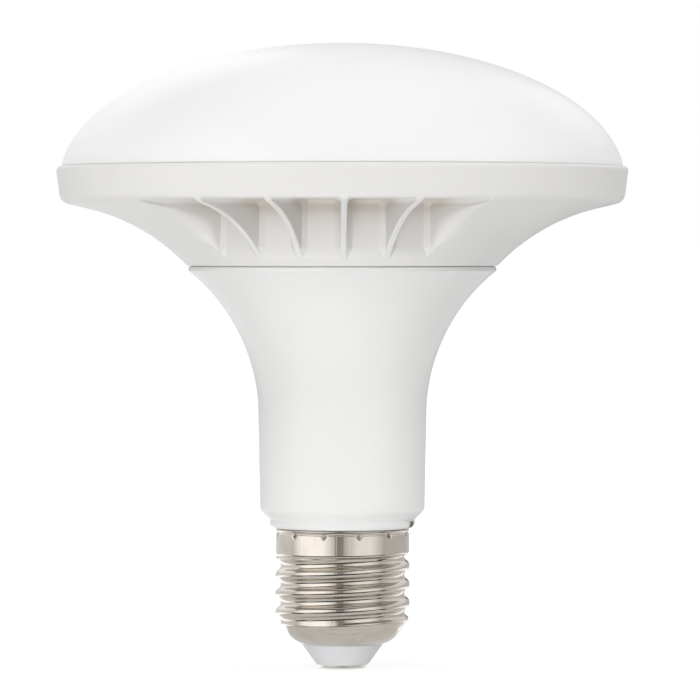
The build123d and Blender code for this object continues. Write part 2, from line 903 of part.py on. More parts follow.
os.makedirs("parts", exist_ok=True)
for name, piece in parts.items():
    export_step(piece, f"parts/{name}.step")
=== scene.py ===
import math

import bmesh
import bpy
import numpy as np
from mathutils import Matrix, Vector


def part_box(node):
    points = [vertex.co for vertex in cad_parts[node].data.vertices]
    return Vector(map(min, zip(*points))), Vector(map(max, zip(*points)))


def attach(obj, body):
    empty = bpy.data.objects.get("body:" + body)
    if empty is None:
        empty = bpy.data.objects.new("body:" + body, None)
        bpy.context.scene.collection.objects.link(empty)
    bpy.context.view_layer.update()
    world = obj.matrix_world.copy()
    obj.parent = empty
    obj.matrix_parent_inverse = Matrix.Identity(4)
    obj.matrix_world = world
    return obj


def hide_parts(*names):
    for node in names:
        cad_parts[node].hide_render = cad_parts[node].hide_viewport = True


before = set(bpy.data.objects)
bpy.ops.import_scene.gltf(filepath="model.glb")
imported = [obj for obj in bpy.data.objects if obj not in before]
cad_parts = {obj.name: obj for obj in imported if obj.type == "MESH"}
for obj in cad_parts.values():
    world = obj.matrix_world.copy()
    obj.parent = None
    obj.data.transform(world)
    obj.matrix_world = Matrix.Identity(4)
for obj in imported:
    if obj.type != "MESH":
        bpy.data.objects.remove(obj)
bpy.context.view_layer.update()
mm = 0.001
print("frame loaded:", len(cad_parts), "nodes")


def levelsOf(node):
    # lowest and highest level of a CAD node, in millimetres
    low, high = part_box(node)
    return low.z / mm, high.z / mm


# Profile runs: all are arrays of (radius, level) in millimetres

def straightRun(start, end, steps):
    # point = start + (end - start) * share
    return np.linspace(start, end, steps)


def arcRun(centre, radius, startAngle, endAngle, steps):
    # point = centre + radius * (cos, sin) of an angle that goes evenly from start to end, in degrees
    turn = np.radians(np.linspace(startAngle, endAngle, steps))
    return np.stack([centre[0] + radius * np.cos(turn), centre[1] + radius * np.sin(turn)], 1)


def curveRun(start, pull, end, steps):
    # quadratic curve: (1-t)^2 start + 2t(1-t) pull + t^2 end
    t = np.linspace(0, 1, steps)[:, None]
    start, pull, end = (np.array(p, float) for p in (start, pull, end))
    return (1 - t) ** 2 * start + 2 * t * (1 - t) * pull + t**2 * end


def cornerArc(before, corner, after, radius):
    # circle that touches both legs of a corner: centre = corner + bisector * radius / sin(half the angle)
    before, corner, after = (np.array(p, float) for p in (before, corner, after))
    one = (before - corner) / np.linalg.norm(before - corner)
    two = (after - corner) / np.linalg.norm(after - corner)
    half = math.acos(np.clip(one @ two, -1, 1)) / 2
    middle = (one + two) / np.linalg.norm(one + two)
    centre = corner + middle * radius / math.sin(half)
    angles = []
    for leg in (one, two):
        touch = corner + leg * radius / math.tan(half) - centre
        angles.append(math.degrees(math.atan2(touch[1], touch[0])))
    swing = (angles[1] - angles[0] + 180) % 360 - 180  # the short way round
    return centre, angles[0], angles[0] + swing


def softPath(corners, steps=6):
    # polyline of (radius, level, rounding): each rounded corner becomes an arc that touches both its legs
    runs = []
    for index, (radius, level, rounding) in enumerate(corners):
        if rounding == 0:
            runs.append(np.array([[radius, level]]))
            continue
        before, after = corners[index - 1][:2], corners[(index + 1) % len(corners)][:2]
        centre, start, end = cornerArc(before, (radius, level), after, rounding)
        runs.append(arcRun(centre, rounding, start, end, steps))
    return np.concatenate(runs)


def bowCentre(start, end, radius):
    # centre of a hollow arc from a lower to an upper point: middle of the chord, moved outwards and down
    start, end = np.array(start, float), np.array(end, float)
    chord = end - start
    length = np.linalg.norm(chord)
    outwards = np.array([chord[1], -chord[0]]) / length
    return (start + end) / 2 + outwards * math.sqrt(radius**2 - length**2 / 4)


def bowRun(start, end, radius, steps):
    # hollow arc between two points
    centre = bowCentre(start, end, radius)
    angles = [math.degrees(math.atan2(p[1] - centre[1], p[0] - centre[0])) % 360 for p in (start, end)]
    return arcRun(centre, radius, angles[0], angles[1], steps)


def spread(path, longest):
    # the same path with each leg longer than the given length cut into equal parts
    legs = np.linalg.norm(np.diff(path, axis=0), axis=1)
    counts = np.maximum(1, np.ceil(legs / longest)).astype(int)
    places = np.concatenate([[0]] + [i + np.arange(1, n + 1) / n for i, n in enumerate(counts)])
    index = np.arange(len(path))
    return np.stack([np.interp(places, index, path[:, k]) for k in range(2)], 1)


def ellipseRun(reach, rise, level, startAngle, steps):
    # stretch of an ellipse that ends on the axis: (reach * cos, level + rise * sin) of evenly spaced angles
    turn = np.linspace(startAngle, math.pi / 2, steps)
    return np.stack([reach * np.cos(turn), level + rise * np.sin(turn)], 1)


# Grids into meshes

weldReach = 3e-7  # metres: points nearer than this are one point
sliverReach = 1e-7  # metres: edges shorter than this are dropped
shadingWeight = 60  # above 50, larger faces count for more


def turned(profile, columns):
    # surface of revolution: (r cos a, r sin a, z) for every profile point and every angle a
    angle = np.linspace(0, 2 * np.pi, columns, endpoint=False)
    radius, level = profile[:, :1], profile[:, 1:]
    flat = np.ones(columns)
    return np.stack([radius * np.cos(angle), radius * np.sin(angle), level * flat], 2)


def gridPiece(name, grid, closedRows=True, sharpAngle=50):
    # quads between neighbours of a grid of points that closes round the axis, and along its rows if asked
    rows, columns = grid.shape[:2]
    i = np.arange(rows if closedRows else rows - 1)[:, None]
    j = np.arange(columns)[None, :]
    nextRow, nextColumn = (i + 1) % rows, (j + 1) % columns
    here, beyond = i * columns, nextRow * columns
    corners = [here + j, here + nextColumn, beyond + nextColumn, beyond + j]
    quads = np.stack(np.broadcast_arrays(*corners), 2).reshape(-1, 4)
    mesh = bpy.data.meshes.new(name)
    mesh.vertices.add(rows * columns)
    mesh.vertices.foreach_set("co", (grid * mm).astype(np.float32).ravel())
    mesh.loops.add(quads.size)
    mesh.loops.foreach_set("vertex_index", quads.ravel().astype(np.int32))
    mesh.polygons.add(len(quads))
    mesh.polygons.foreach_set("loop_start", np.arange(0, quads.size, 4, dtype=np.int32))
    mesh.update(calc_edges=True)
    # poles and doubled columns are welded, then faces are turned outwards
    work = bmesh.new()
    work.from_mesh(mesh)
    bmesh.ops.remove_doubles(work, verts=work.verts, dist=weldReach)
    bmesh.ops.dissolve_degenerate(work, edges=work.edges, dist=sliverReach)
    bmesh.ops.recalc_face_normals(work, faces=work.faces)
    work.to_mesh(mesh)
    work.free()
    mesh.shade_smooth()
    mesh.set_sharp_from_angle(angle=math.radians(sharpAngle))
    piece = bpy.data.objects.new(name, mesh)
    bpy.context.scene.collection.objects.link(piece)
    even = piece.modifiers.new("evenShading", "WEIGHTED_NORMAL")
    even.keep_sharp = True
    even.weight = shadingWeight
    return piece


def markPaintedShade(piece, rule):
    # each point's painted shade from its radius, angle and level: 0 in the open, 1 where the painted shade is
    # darkest
    points = np.empty(len(piece.data.vertices) * 3, np.float32)
    piece.data.vertices.foreach_get("co", points)
    points = points.reshape(-1, 3) / mm
    attribute = piece.data.attributes.new("paintedShade", "FLOAT", "POINT")
    x, y, level = points.T
    depth = rule(np.hypot(x, y), np.arctan2(y, x), level)
    attribute.data.foreach_set("value", depth.astype(np.float32))


def seat(piece, node, material):
    piece.data.materials.clear()
    piece.data.materials.append(material)
    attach(piece, "root")
    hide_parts(node)
    print("piece", piece.name, "for", node, "faces", len(piece.data.polygons))


# Shared shading effects

def nodeGroup(name, inputs, outputs):
    group = bpy.data.node_groups.new(name, "ShaderNodeTree")
    for label, kind, value in inputs:
        socket = group.interface.new_socket(label, in_out="INPUT", socket_type=kind)
        socket.default_value = value
    for label, kind in outputs:
        group.interface.new_socket(label, in_out="OUTPUT", socket_type=kind)
    return group, group.nodes.new("NodeGroupInput"), group.nodes.new("NodeGroupOutput")


def addNode(tree, kind, settings=None, **links):
    # a node with its plain settings, and links or values for its inputs by name
    node = tree.nodes.new(kind)
    for key, value in (settings or {}).items():
        setattr(node, key, value)
    for label, value in links.items():
        byNumber = label[0] == "i" and label[1:].isdigit()
        socket = node.inputs[int(label[1:])] if byNumber else node.inputs[label]
        if isinstance(value, bpy.types.NodeSocket):
            tree.links.new(value, socket)
        else:
            socket.default_value = value
    return node


def mathOf(tree, operation, first, second):
    return addNode(tree, "ShaderNodeMath", {"operation": operation}, i0=first, i1=second).outputs[0]


def sumOf(tree, first, firstShare, second, secondShare):
    # first * its share + second * its share
    one = mathOf(tree, "MULTIPLY", first, firstShare)
    two = mathOf(tree, "MULTIPLY", second, secondShare)
    return mathOf(tree, "ADD", one, two)


def noiseOf(tree, place, scale, detail):
    return addNode(tree, "ShaderNodeTexNoise", Vector=place, Scale=scale, Detail=detail).outputs["Fac"]


def remap(tree, value, low, high, newLow, newHigh):
    node = addNode(tree, "ShaderNodeMapRange", {"clamp": True}, Value=value)
    for label, number in (("From Min", low), ("From Max", high), ("To Min", newLow), ("To Max", newHigh)):
        if isinstance(number, bpy.types.NodeSocket):
            tree.links.new(number, node.inputs[label])
        else:
            node.inputs[label].default_value = number
    return node.outputs[0]


# the last tone multiplies the tint where painted shade lies
skinEffect = {
    "cloudScale": 38.0, "cloudLow": 0.3, "cloudHigh": 0.7, "flowScale": 120.0,
    "grainRelief": 0.7, "flowRelief": 0.3, "shadeTone": (0.76, 0.725, 0.68, 1),
}


def mouldedSkinGroup(effect):
    # moulded plastic: faint cloudy tint, fine spark-eroded grain and soft flow waviness; painted shade from
    # a piece's own attribute multiplies the tint to a duller, warmer grey in deep places and along seams
    group, inside, out = nodeGroup(
        "mouldedSkin",
        [("Tint", "NodeSocketColor", (0.8, 0.8, 0.8, 1)), ("Cloud", "NodeSocketFloat", 0.03),
         ("Grain", "NodeSocketFloat", 2600.0), ("Rough Low", "NodeSocketFloat", 0.3),
         ("Rough High", "NodeSocketFloat", 0.4)],
        [("Color", "NodeSocketColor"), ("Roughness", "NodeSocketFloat"), ("Height", "NodeSocketFloat")],
    )
    given = inside.outputs
    place = addNode(group, "ShaderNodeTexCoord").outputs["Object"]
    cloud = noiseOf(group, place, effect["cloudScale"], 4.0)
    grain = noiseOf(group, place, given["Grain"], 2.0)
    flow = noiseOf(group, place, effect["flowScale"], 1.0)
    cloudSpan = (effect["cloudLow"], effect["cloudHigh"])
    low = mathOf(group, "SUBTRACT", 1.0, given["Cloud"])
    shade = remap(group, cloud, *cloudSpan, low, 1.0)
    even = addNode(group, "ShaderNodeVectorMath", {"operation": "SCALE"}, i0=given["Tint"], Scale=shade)
    # painted shade: where the piece's own attribute is 1, the tint is multiplied by the shade tone
    paintedShade = addNode(group, "ShaderNodeAttribute", {"attribute_name": "paintedShade"}).outputs["Fac"]
    shadedTint = addNode(group, "ShaderNodeMix", {"data_type": "RGBA", "blend_type": "MULTIPLY"}, Factor=paintedShade)
    group.links.new(even.outputs[0], shadedTint.inputs[6])
    shadedTint.inputs[7].default_value = effect["shadeTone"]
    rough = remap(group, cloud, *cloudSpan, given["Rough Low"], given["Rough High"])
    height = sumOf(group, grain, effect["grainRelief"], flow, effect["flowRelief"])
    group.links.new(shadedTint.outputs[2], out.inputs["Color"])
    group.links.new(rough, out.inputs["Roughness"])
    group.links.new(height, out.inputs["Height"])
    return group


plateEffect = {
    "lineScale": 2400.0, "scoreScale": 900.0, "cloudScale": 160.0,
    "cloudLow": 0.5, "cloudHigh": 0.75, "cloudTarnish": 0.22,
    # painted shade below the crimped edge: full within the near distance, none past the far one
    "crimpNear": 0.0001, "crimpFar": 0.0004, "crimpShade": 0.9,
    "lineWear": 0.6, "cloudWear": 0.4, "wearLow": 0.35, "wearHigh": 0.65,
    "scoreLow": 0.62, "scoreHigh": 0.7, "lineRelief": 0.4, "scoreRelief": 0.6,
}


def platedMetalGroup(effect):
    # plated sheet: cloudy tarnish, painted shade just below a crimped edge and painted shade where a piece's
    # own attribute asks for it, with fine drawing scratches along the axis and a few deeper ones
    group, inside, out = nodeGroup(
        "platedMetal",
        [("Tint", "NodeSocketColor", (0.7, 0.68, 0.64, 1)),
         ("Tarnish And Shade", "NodeSocketColor", (0.5, 0.46, 0.4, 1)),
         ("Rough Low", "NodeSocketFloat", 0.1), ("Rough High", "NodeSocketFloat", 0.24),
         ("Stretch", "NodeSocketFloat", 0.06), ("Crimp", "NodeSocketFloat", 1.0)],
        [("Color", "NodeSocketColor"), ("Roughness", "NodeSocketFloat"), ("Height", "NodeSocketFloat")],
    )
    given = inside.outputs
    place = addNode(group, "ShaderNodeTexCoord").outputs["Object"]
    parts = addNode(group, "ShaderNodeSeparateXYZ", i0=place).outputs
    squeezed = mathOf(group, "MULTIPLY", parts[2], given["Stretch"])
    drawn = addNode(group, "ShaderNodeCombineXYZ", i0=parts[0], i1=parts[1], i2=squeezed).outputs[0]
    lines = noiseOf(group, drawn, effect["lineScale"], 3.0)
    deep = noiseOf(group, drawn, effect["scoreScale"], 2.0)
    cloud = noiseOf(group, place, effect["cloudScale"], 5.0)
    # painted shade: a thin dark band just below the crimped edge, where the neck's overhang shades the shell,
    # and the piece's own shade attribute pull the colour to the dark tone, as the cloudy tarnish does
    under = mathOf(group, "SUBTRACT", given["Crimp"], parts[2])
    clouded = remap(group, cloud, effect["cloudLow"], effect["cloudHigh"], 0.0, effect["cloudTarnish"])
    belowCrimpShade = remap(group, under, effect["crimpNear"], effect["crimpFar"], effect["crimpShade"], 0.0)
    paintedShade = addNode(group, "ShaderNodeAttribute", {"attribute_name": "paintedShade"}).outputs["Fac"]
    amount = mathOf(group, "MAXIMUM", mathOf(group, "MAXIMUM", clouded, belowCrimpShade), paintedShade)
    mix = addNode(group, "ShaderNodeMix", {"data_type": "RGBA"}, Factor=amount)
    group.links.new(given["Tint"], mix.inputs[6])
    group.links.new(given["Tarnish And Shade"], mix.inputs[7])
    worn = sumOf(group, lines, effect["lineWear"], cloud, effect["cloudWear"])
    rough = remap(group, worn, effect["wearLow"], effect["wearHigh"], given["Rough Low"], given["Rough High"])
    scored = remap(group, deep, effect["scoreLow"], effect["scoreHigh"], 1.0, 0.0)
    height = sumOf(group, lines, effect["lineRelief"], scored, effect["scoreRelief"])
    group.links.new(mix.outputs[2], out.inputs["Color"])
    group.links.new(rough, out.inputs["Roughness"])
    group.links.new(height, out.inputs["Height"])
    return group


mouldedSkin = mouldedSkinGroup(skinEffect)
platedMetal = platedMetalGroup(plateEffect)


def finish(name, group, values, bump, **constants):
    # the group's colour, roughness and height go into one Principled shader with its own plain settings;
    # the bump is in millimetres
    material = bpy.data.materials.new(name)
    material.use_nodes = True
    tree = material.node_tree
    shader = tree.nodes["Principled BSDF"]
    effect = tree.nodes.new("ShaderNodeGroup")
    effect.node_tree = group
    for label, value in values.items():
        effect.inputs[label].default_value = value
    tree.links.new(effect.outputs["Color"], shader.inputs["Base Color"])
    tree.links.new(effect.outputs["Roughness"], shader.inputs["Roughness"])
    relief = addNode(tree, "ShaderNodeBump", Height=effect.outputs["Height"], Distance=bump * mm)
    relief.inputs["Strength"].default_value = 1.0
    tree.links.new(relief.outputs["Normal"], shader.inputs["Normal"])
    for label, value in constants.items():
        shader.inputs[label.replace("_", " ")].default_value = value
    return material


def tint(red, green, blue):
    return (red, green, blue, 1.0)


# the opal dome has a painted glow: a faint even emission that flattens its shading, as if light came through
# the plastic
opalDome = finish(
    "opalDome", mouldedSkin,
    {"Tint": tint(0.87, 0.87, 0.87), "Cloud": 0.01, "Grain": 1500.0, "Rough Low": 0.3, "Rough High": 0.36},
    bump=0.004, IOR=1.5, Emission_Color=tint(1, 1, 1), Emission_Strength=0.08,
)
collarWhite = finish(
    "collarWhite", mouldedSkin,
    {"Tint": tint(0.845, 0.836, 0.82), "Cloud": 0.015, "Grain": 2600.0,
     "Rough Low": 0.36, "Rough High": 0.44},
    bump=0.012, IOR=1.42,
)
neckWhite = finish(
    "neckWhite", mouldedSkin,
    {"Tint": tint(0.895, 0.89, 0.88), "Cloud": 0.012, "Grain": 2200.0, "Rough Low": 0.3, "Rough High": 0.37},
    bump=0.008, IOR=1.42,
)
insulatorWhite = finish(
    "insulatorWhite", mouldedSkin,
    {"Tint": tint(0.7, 0.705, 0.715), "Cloud": 0.03, "Grain": 3200.0, "Rough Low": 0.4, "Rough High": 0.52},
    bump=0.012, IOR=1.5,
)
nickelPlate = finish(
    "nickelPlate", platedMetal,
    {"Tint": tint(0.62, 0.575, 0.515), "Tarnish And Shade": tint(0.2, 0.16, 0.12),
     "Rough Low": 0.08, "Rough High": 0.15, "Stretch": 0.05, "Crimp": levelsOf("cap_shell")[1] * mm},
    bump=0.011, Metallic=1.0,
)
contactPlate = finish(
    "contactPlate", platedMetal,
    {"Tint": tint(0.8, 0.78, 0.74), "Tarnish And Shade": tint(0.55, 0.52, 0.48), "Rough Low": 0.3, "Rough High": 0.42,
     "Stretch": 1.0},
    bump=0.006, Metallic=1.0,
)


# Opal dome

domeSize = {"wall": 1.6, "setback": 1.0, "bulge": 2.8, "edge": 0.3, "skirtWall": 1.5, "skirtGap": 2.25,
            "snapDepth": 0.3, "snapDrop": 1.2, "snapHeight": 1.0, "seamShade": 0.25, "columns": 288}


def domeGrid(size):
    # closed section turned about the axis: outer ellipse, inner ellipse one wall inside it, snap skirt
    rimLevel = levelsOf("finned_collar")[1]
    skirtLevel, top = levelsOf("diffuser_dome")
    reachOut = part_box("finned_collar")[1].x / mm
    rise = top - rimLevel + size["bulge"]
    seatRadius = reachOut - size["setback"]
    reach = seatRadius / math.sqrt(1 - (size["bulge"] / rise) ** 2)
    level = rimLevel - size["bulge"]
    skirtRadius = reachOut - size["skirtGap"]
    skirtBore = skirtRadius - size["skirtWall"]
    snap = rimLevel - size["snapDrop"]
    outer = ellipseRun(reach, rise, level, math.asin((size["bulge"] + size["edge"]) / rise), steps=90)
    innerReach = reach - size["wall"]
    inner = ellipseRun(innerReach, rise - size["wall"], level, math.acos(skirtBore / innerReach), steps=40)
    edgeFoot = (seatRadius - size["edge"], rimLevel)
    edge = curveRun(edgeFoot, (seatRadius, rimLevel), outer[0], steps=6)[:-1]
    skirt = softPath([
        (skirtBore, skirtLevel, 0),
        (skirtRadius, skirtLevel, 0),
        (skirtRadius, snap - size["snapHeight"] / 2, 0),
        (skirtRadius + size["snapDepth"], snap, 0),
        (skirtRadius, snap + size["snapHeight"] / 2, 0),
        (skirtRadius, rimLevel, 0),
    ])
    return turned(np.concatenate([edge, outer, inner[::-1], skirt]), size["columns"])


dome = gridPiece("opal_dome", domeGrid(domeSize))
seam = levelsOf("finned_collar")[1]
# painted shade along the seam with the rim: 1 at the seam, down to 0 at the seam shade's height above it
markPaintedShade(dome, lambda radius, angle, level: np.clip(1 - (level - seam) / domeSize["seamShade"], 0, 1))
seat(dome, "diffuser_dome", opalDome)


# Finned collar

collarSize = {
    "footWall": 1.8, "footEdge": 0.2, "trumpetRadius": 38.595, "trumpetRise": 11.2, "footRadius": 30.4,
    "crownSetback": 5.9, "rimRadius": 55.9, "rimTaper": 0.85, "rimLift": 1.2, "rimCorner": 2.2,
    "rimEdge": 0.8, "rimBoreEdge": 0.2, "rimWall": 2.1, "snapDrop": 1.2, "snapHeight": 1.3, "snapDepth": 0.3,
    "deck": 1.7, "coreRadius": 32.4, "coreFillet": 1.2, "finFoot": 1.3, "crossing": 10.0, "ceilingLift": 0.4,
    "lip": 0.35, "finCount": 4, "finPitch": 15.0, "finThickness": 1.25, "finEdge": 0.3, "edgeShare": 0.4,
    "rootBevel": 1.05, "rootShare": 0.6, "bevelEdge": 0.12, "bevelShare": 0.1, "ceilingFillet": 1.5,
    "roofBlend": 4.0, "shoulder": 5.0, "windowCount": 2, "front": -90.0, "solidStep": 2.0,
    "edgeColumns": 7, "wallColumns": 6, "floorColumns": 8,
    "rootColumns": (0, 0.07, 0.2, 0.35, 0.5, 0.65, 0.8, 0.93, 1), "shadeReach": 16.0, "shadePower": 3,
}


def collarPaths(size):
    # rows shared by every column: foot, the window stretch twice (skin and pocket), then rim, deck and bore
    low, high = levelsOf("finned_collar")
    foot = (size["footRadius"], low)
    crown = (size["rimRadius"] - size["crownSetback"], low + size["trumpetRise"])
    corner = (size["rimRadius"] - size["rimTaper"], crown[1] + size["rimLift"])
    rimTop = (size["rimRadius"], high)
    bore = size["footRadius"] - size["footWall"]
    centre = bowCentre(foot, crown, size["trumpetRadius"])

    def trumpet(startLevel, endLevel, steps):
        rises = [(z - centre[1]) / size["trumpetRadius"] for z in (startLevel, endLevel)]
        angles = [180 - math.degrees(math.asin(rise)) for rise in rises]
        return arcRun(centre, size["trumpetRadius"], angles[0], angles[1], steps)

    windowFoot = low + size["finFoot"]
    footTangent = trumpet(low, low + size["footEdge"] * 2, steps=2)[1]
    footArc = softPath([(bore, low, 0), (*foot, size["footEdge"]), (*footTangent, 0)])
    footSkin = trumpet(low + size["footEdge"] * 1.5, windowFoot, steps=5)[:-1]
    footRows = np.concatenate([spread(footArc[:-1], longest=0.8), footSkin])

    # skin: trumpet, crown and the rounded lower corner of the rim
    rimCentre, rimStart, rimEnd = cornerArc(crown, corner, rimTop, size["rimCorner"])
    ceiling = corner[1] + size["ceilingLift"]
    lipAngle = math.degrees(math.asin((ceiling + size["lip"] - rimCentre[1]) / size["rimCorner"]))
    crownEnd = arcRun(rimCentre, size["rimCorner"], rimStart, rimStart, steps=1)[0]
    crownRun = straightRun(crown, crownEnd, steps=20)[1:]
    skinLow = np.concatenate([trumpet(windowFoot, crown[1], steps=120), crownRun])
    skinLip = arcRun(rimCentre, size["rimCorner"], rimStart, lipAngle, steps=7)
    sharedLip = arcRun(rimCentre, size["rimCorner"], lipAngle, rimEnd, steps=7)[1:]

    # pocket: curved ramp at the foot of the core, upright core, ceiling out to the rim's lip
    start = trumpet(windowFoot, windowFoot, steps=1)[0]
    lean = math.asin((windowFoot - centre[1]) / size["trumpetRadius"]) - math.radians(size["crossing"])
    bend = (size["coreRadius"] - start[0]) / (1 - math.cos(lean))
    rampCentre = start + np.array([-math.cos(lean), math.sin(lean)]) * bend
    ramp = arcRun(rampCentre, bend, -math.degrees(lean), 0, steps=14)
    fillet = size["coreFillet"]
    core = straightRun(ramp[-1], (size["coreRadius"], ceiling - fillet), steps=13)[1:]
    turn = arcRun((size["coreRadius"] + fillet, ceiling - fillet), fillet, 180, 90, steps=8)[1:]
    lipCorner = (rimCentre[0] + math.sqrt(size["rimCorner"] ** 2 - (ceiling - rimCentre[1]) ** 2), ceiling)
    lipStart = (lipCorner[0] - 2 * size["lip"], ceiling)
    roof = straightRun(turn[-1], lipStart, steps=24)[1:]
    pocketLip = curveRun(lipStart, lipCorner, skinLip[-1], steps=7)[1:]
    pocketLow = np.concatenate([ramp, core, turn, roof])

    # the skin gets as many rows as the pocket: the part below the core's corner first, then the rest
    along = np.concatenate([[0], np.cumsum(np.linalg.norm(np.diff(skinLow, axis=0), axis=1))])
    upright = len(ramp) + len(core) + len(turn) // 2
    nearest = along[np.argmin(np.linalg.norm(skinLow - np.array([size["coreRadius"], ceiling]), axis=1))]
    places = np.concatenate([np.linspace(0, nearest, upright),
                             np.linspace(nearest, along[-1], len(pocketLow) - upright + 1)[1:]])
    skinLow = np.stack([np.interp(places, along, skinLow[:, k]) for k in range(2)], 1)
    skin = np.concatenate([skinLow, skinLip[1:], sharedLip])
    pocket = np.concatenate([pocketLow, pocketLip, sharedLip])

    snapLow = high - size["snapDrop"] - size["snapHeight"] / 2
    snapHigh = high - size["snapDrop"] + size["snapHeight"] / 2
    rimBore = size["rimRadius"] - size["rimWall"]
    deckLevel = ceiling + size["deck"]
    rimRows = softPath([
        (*skin[-1], 0),
        (*rimTop, size["rimEdge"]),
        (rimBore, high, size["rimBoreEdge"]),
        (rimBore, snapHigh, 0),
        (rimBore + size["snapDepth"], (snapLow + snapHigh) / 2, 0),
        (rimBore, snapLow, 0),
        (rimBore, deckLevel, 0),
        (bore, deckLevel, 0),
        (bore, low, 0),
    ])
    rimRows = spread(rimRows, longest=2.0)[1:-1]
    return footRows, skin, pocket, rimRows


def collarGrid(size):
    # every column is a level-by-level mix of skin and pocket: a wall column keeps a set distance from the
    # middle plane of its fin, a floor column a set angle, and roundings follow quarter circles
    footRows, skin, pocket, rimRows = collarPaths(size)
    gap = skin - pocket
    depth = np.linalg.norm(gap, axis=1)
    towards = gap / np.maximum(depth, 1e-9)[:, None]  # no division by zero where skin and pocket meet
    roofShare = np.clip((pocket[:, 0] - size["coreRadius"]) / size["roofBlend"], 0, 1)
    root = size["rootBevel"] + (size["ceilingFillet"] - size["rootBevel"]) * roofShare
    root = np.minimum(root, size["rootShare"] * depth)
    crisp = np.minimum(size["bevelEdge"], size["bevelShare"] * depth)
    columns = []

    def column(plane, side, across, height):
        # place at a height above the pocket's floor, and across from a plane through the axis
        place = pocket + towards * height[:, None]
        angle = np.radians(plane) + side * np.arcsin(across / place[:, 0])
        columns.append((place, angle))

    def wall(plane, side, half, edge):
        # from the skin over the rounded edge, down the wall and over its root: a flat bevel at the core that
        # turns into a hollow fillet under the ceiling
        edge = np.minimum(edge, size["edgeShare"] * depth)
        for turn in np.radians(np.linspace(0, 90, size["edgeColumns"])):
            column(plane, side, half - edge * (1 - math.sin(turn)), depth - edge * (1 - math.cos(turn)))
        for share in np.linspace(0, 1, size["wallColumns"])[1:-1]:
            column(plane, side, half + 0 * depth, (depth - edge) * (1 - share) + (root + crisp) * share)
        column(plane, side, half + 0 * depth, root + crisp)
        for share in size["rootColumns"]:
            turn = math.radians(90 * share)
            across = share * (1 - roofShare) + (1 - math.cos(turn)) * roofShare
            height = (1 - share) * (1 - roofShare) + (1 - math.sin(turn)) * roofShare
            column(plane, side, half + root * across, root * height)

    def floor(startAngle, endAngle, shares):
        for share in shares:
            columns.append((pocket, startAngle + (endAngle - startAngle) * share))

    def rootAngle(plane, side, half):
        return np.radians(plane) + side * np.arcsin((half + root + crisp) / pocket[:, 0])

    half = size["finThickness"] / 2
    reach = size["finPitch"] * (size["finCount"] + 1) / 2
    fins = size["finPitch"] * (np.arange(size["finCount"]) - (size["finCount"] - 1) / 2)
    shares = np.linspace(0, 1, size["floorColumns"])
    period = 360 / size["windowCount"]
    for window in range(size["windowCount"]):
        middle = size["front"] + period * window
        wall(middle - reach, 1, 0, size["shoulder"])
        last = rootAngle(middle - reach, 1, 0)
        for fin in fins:
            plane = middle + fin
            floor(last, rootAngle(plane, -1, half), shares)
            before = len(columns)
            wall(plane, -1, half, size["finEdge"])
            columns[before:] = columns[before:][::-1]
            column(plane, 1, 0 * depth, depth)
            wall(plane, 1, half, size["finEdge"])
            last = rootAngle(plane, 1, half)
        floor(last, rootAngle(middle + reach, -1, 0), shares)
        before = len(columns)
        wall(middle + reach, -1, 0, size["shoulder"])
        columns[before:] = columns[before:][::-1]
        # plain trumpet up to the next window
        following = columns[-1][1]
        shoulder = np.minimum(size["shoulder"], size["edgeShare"] * depth)
        spanEnd = np.radians(middle + period - reach) - np.arcsin(shoulder / skin[:, 0])
        count = int((period - 2 * reach) / size["solidStep"])
        for share in np.linspace(0, 1, count + 1)[1:-1]:
            columns.append((skin, following + (spanEnd - following) * share))

    places = np.stack([c[0] for c in columns], 1)
    angles = np.stack([c[1] for c in columns], 1)
    total = len(columns)
    below = np.repeat(footRows[:, None, :], total, 1)
    above = np.repeat(rimRows[:, None, :], total, 1)
    section = np.concatenate([below, places, above])
    turnBelow = np.repeat(angles[:1], len(footRows), 0)
    turnAbove = np.repeat(angles[-1:], len(rimRows), 0)
    turn = np.concatenate([turnBelow, angles, turnAbove])
    return np.stack([section[:, :, 0] * np.cos(turn), section[:, :, 0] * np.sin(turn), section[:, :, 1]], 2)


def collarPaintedShade(radius, angle, level):
    # painted shade in the pockets: (how far a point lies inside the skin at its own level / reach) ^ power
    skin = collarPaths(collarSize)[1]
    inside = np.interp(level, skin[:, 1], skin[:, 0]) - radius
    return np.clip(inside / collarSize["shadeReach"], 0, 1) ** collarSize["shadePower"]


collar = gridPiece("collar_moulding", collarGrid(collarSize))
markPaintedShade(collar, collarPaintedShade)
seat(collar, "finned_collar", collarWhite)


# Neck housing

neckSize = {
    "wall": 1.8, "spigotBore": 9.85, "spigotRadius": 11.65, "bandRadius": 12.58, "bandLow": 23.35,
    "threadTop": 22.0, "footRadius": 14.2, "footEdge": 0.9, "footRise": 1.6, "footTopEdge": 0.5,
    "radius": 16.1, "draft": 0.35, "corner": 1.5,
    "barrel": 18.5, "flareRadius": 36.0, "topRadius": 30.1, "topLand": 0.86, "topEdge": 0.34,
    "landRadius": 29.5, "ringRadius": 28.45, "ringWall": 1.8, "columns": 288,
}


